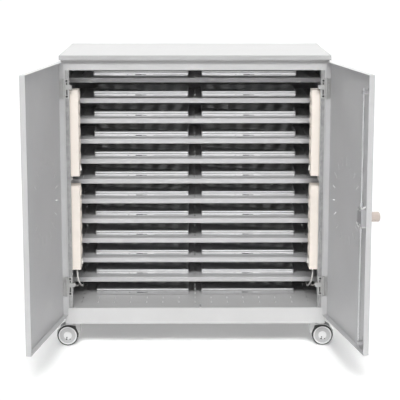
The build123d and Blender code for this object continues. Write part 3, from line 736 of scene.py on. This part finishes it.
def build_sockets():
    """A rim, two contact sleeves and two earth clips for every socket of the four strips."""
    mounts = {mount["name"]: mount for mount in frame["record"]["mounts"]}
    for level in ("lower", "upper"):
        for hand in ("left", "right"):
            mount = mounts[f"sockets_{level}_{hand}"]
            axis = Vector(mount["axis"])
            rims, metals = [], []
            for number in range(SOCKETS):
                rise = (number - (SOCKETS - 1) / 2) * SOCKET_PITCH * MM
                place = turned_to(axis, Vector(mount["pos_m"]) + Vector((0, 0, rise)))
                rims.append(lathe("rim", SOCKET_RIM_PROFILE, STRIP_PLASTIC, place, 40, closed=True))
                metals += socket_metal(place)
            rim_group = joined(f"socket_rims_{level}_{hand}", rims)
            finish_piece(rim_group, "cabinet", "strip_plastic")
            contact_group = joined(f"socket_contacts_{level}_{hand}", metals)
            finish_piece(contact_group, "cabinet", "hinge_steel")


def socket_metal(place):
    """The contact sleeves and earth clips at the bottom and sides of one socket."""
    quarter = Matrix.Rotation(math.radians(90), 4, "Z")
    metals = []
    for side in (-1, 1):
        hole = Matrix.Translation((side * CONTACT_OFFSET * MM, 0, -(SOCKET_DEPTH + 0.4) * MM))
        wall = Matrix.Translation((side * CLIP_OFFSET * MM, 0, -SOCKET_DEPTH * MM))
        sleeve = place @ quarter @ hole
        metals.append(lathe("sleeve", CONTACT_PROFILE, HINGE_STEEL, sleeve, 16, closed=True))
        clip = softened(11.0, 0.4)
        metals.append(slab("clip", (1.6, 5.0), 0.6, clip, HINGE_STEEL, place @ wall, 2))
    return metals


# ---------------------------------------------------------------- doorway and door fittings

# Dark strips of painted shade on the posts: width and thickness in millimetres.
SHADE_STRIP_WIDTH = 13.4
SHADE_STRIP_THICKNESS = 1.3
HINGE_HALF = 36.0
SLIDE_X = 473.5
SLIDE_WIDTH = 4.5
# Slides: bottom and top, measured from the middle of the hinge
SLIDE_SPANS = [(14.0, 23.0), (-23.0, -4.0)]
# Lock fittings, on the closed door: across, back from the cabinet's front plane, up
TAB_ENDS = [(5, 15, 657), (4, -1, 665)]
LINK_ENDS = [(60, 13, 601), (20, 17.5, 591)]
BOSS_PLACE = (10, 5, 591)
BOSS_PROFILE = [(4.0, 0), (6.6, 0), (7.0, 0.6), (7.0, 4.4), (6.4, 5.0), (4.0, 5.0)]
CASE_SCREWS = [(12, 602), (34, 602), (12, 651), (34, 651)]
CASE_SCREW_PROFILE = [(3.4, -0.5), (3.4, 0.4), (2.6, 1.4), (1.0, 1.7)]
CASE_SCREW_Y = 16


def hinge_middles():
    """The heights of the two hinges, half a hinge in from the bottom and top of the CAD hinge plates' box."""
    low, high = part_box("hinge_plates")
    return low.z + HINGE_HALF * MM, high.z - HINGE_HALF * MM


def build_post_shade():
    """Dark strips of painted shade on the posts beside the doorway, left out where the hinge plates sit."""
    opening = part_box("header_rail")
    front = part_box("plinth")[0].y
    bottom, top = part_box("floor_pan")[1].z, opening[0].z
    lower, upper = hinge_middles()
    room = (HINGE_HALF + 0.5) * MM
    for hand, side in (("left", -1), ("right", 1)):
        across = side * (opening[1].x + (SHADE_STRIP_WIDTH / 2 + 0.3) * MM)
        runs = ((bottom, lower - room), (lower + room, upper - room), (upper + room, top))
        pieces = [post_shade_run(across, front, low, high) for low, high in runs]
        finish_piece(joined(f"post_painted_shade_{hand}", pieces), "cabinet", "tyre")


def post_shade_run(across, front, low, high):
    """One straight dark strip of painted shade on the front of a post."""
    place = turned_to((0, -1, 0), (across, front, (low + high) / 2))
    size = facing_size(place, SHADE_STRIP_WIDTH, (high - low) * 1000)
    return slab("shade_strip", size, 0.8, softened(SHADE_STRIP_THICKNESS, 0.4), POST_SHADE_PAINT, place, 3)


def build_hinge_slides():
    """Dark adjusting slides on the fixed hinge plates, above and below each clamp."""
    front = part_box("plinth")[0].y - 1.8 * MM
    for hand, side in (("left", -1), ("right", 1)):
        pieces = []
        for middle in hinge_middles():
            for low, high in SLIDE_SPANS:
                height = middle + (low + high) / 2 * MM
                place = turned_to((0, -1, 0), (side * SLIDE_X * MM, front, height))
                size = facing_size(place, SLIDE_WIDTH, high - low)
                pieces.append(slab("slide", size, 1.0, softened(1.2, 0.4), DARK_SCREW, place, 3))
        finish_piece(joined(f"hinge_slides_{hand}", pieces), "cabinet", "dark_screw")


def build_lock_fittings():
    """Tab, link, bosses and screw heads around the lock case, laid out on the closed door."""
    swing = JOINTS["door_right_swing"]
    pivot = Matrix.Translation(swing["pos_m"])
    turn = Matrix.Rotation(math.radians(swing["range_deg"][1]), 4, "Z")
    to_open = pivot @ turn @ pivot.inverted()
    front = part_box("plinth")[0].y * 1000

    def at(x, y, z):
        return to_open @ Vector((x * MM, (y + front) * MM, z * MM))

    boss = Matrix.Translation(at(*BOSS_PLACE))
    pieces = [
        bar("tab", at(*TAB_ENDS[0]), at(*TAB_ENDS[1]), 2.6, BRIGHT_STEEL),
        bar("link", at(*LINK_ENDS[0]), at(*LINK_ENDS[1]), 1.8, BRIGHT_STEEL),
        lathe("boss", BOSS_PROFILE, BRIGHT_STEEL, boss, 32),
    ]
    facing = to_open.to_3x3() @ Vector((0, 1, 0))
    for x, z in CASE_SCREWS:
        place = turned_to(facing, at(x, CASE_SCREW_Y, z))
        pieces.append(lathe("screw", CASE_SCREW_PROFILE, BRIGHT_STEEL, place, 20))
    finish_piece(joined("lock_fittings", pieces), "door_right", "rod_steel")


# ---------------------------------------------------------------- assembly

paint_cad_nodes()
for name in ("worktop", "header_rail", "plinth", "side_panel_left", "side_panel_right"):
    soften_edges(name, 0.5)
for name in NODES:
    if name.startswith(("power_strip", "rocker")):
        soften_edges(name, 0.8)
    if name in ("lock_case", "lock_guides", "hinge_plates", "caster_plates", "door_stop"):
        soften_edges(name, 0.4)
build_laptops()
build_wheels()
build_knob()
build_sockets()
build_post_shade()
build_hinge_slides()
build_lock_fittings()
build_studio()
build_camera()
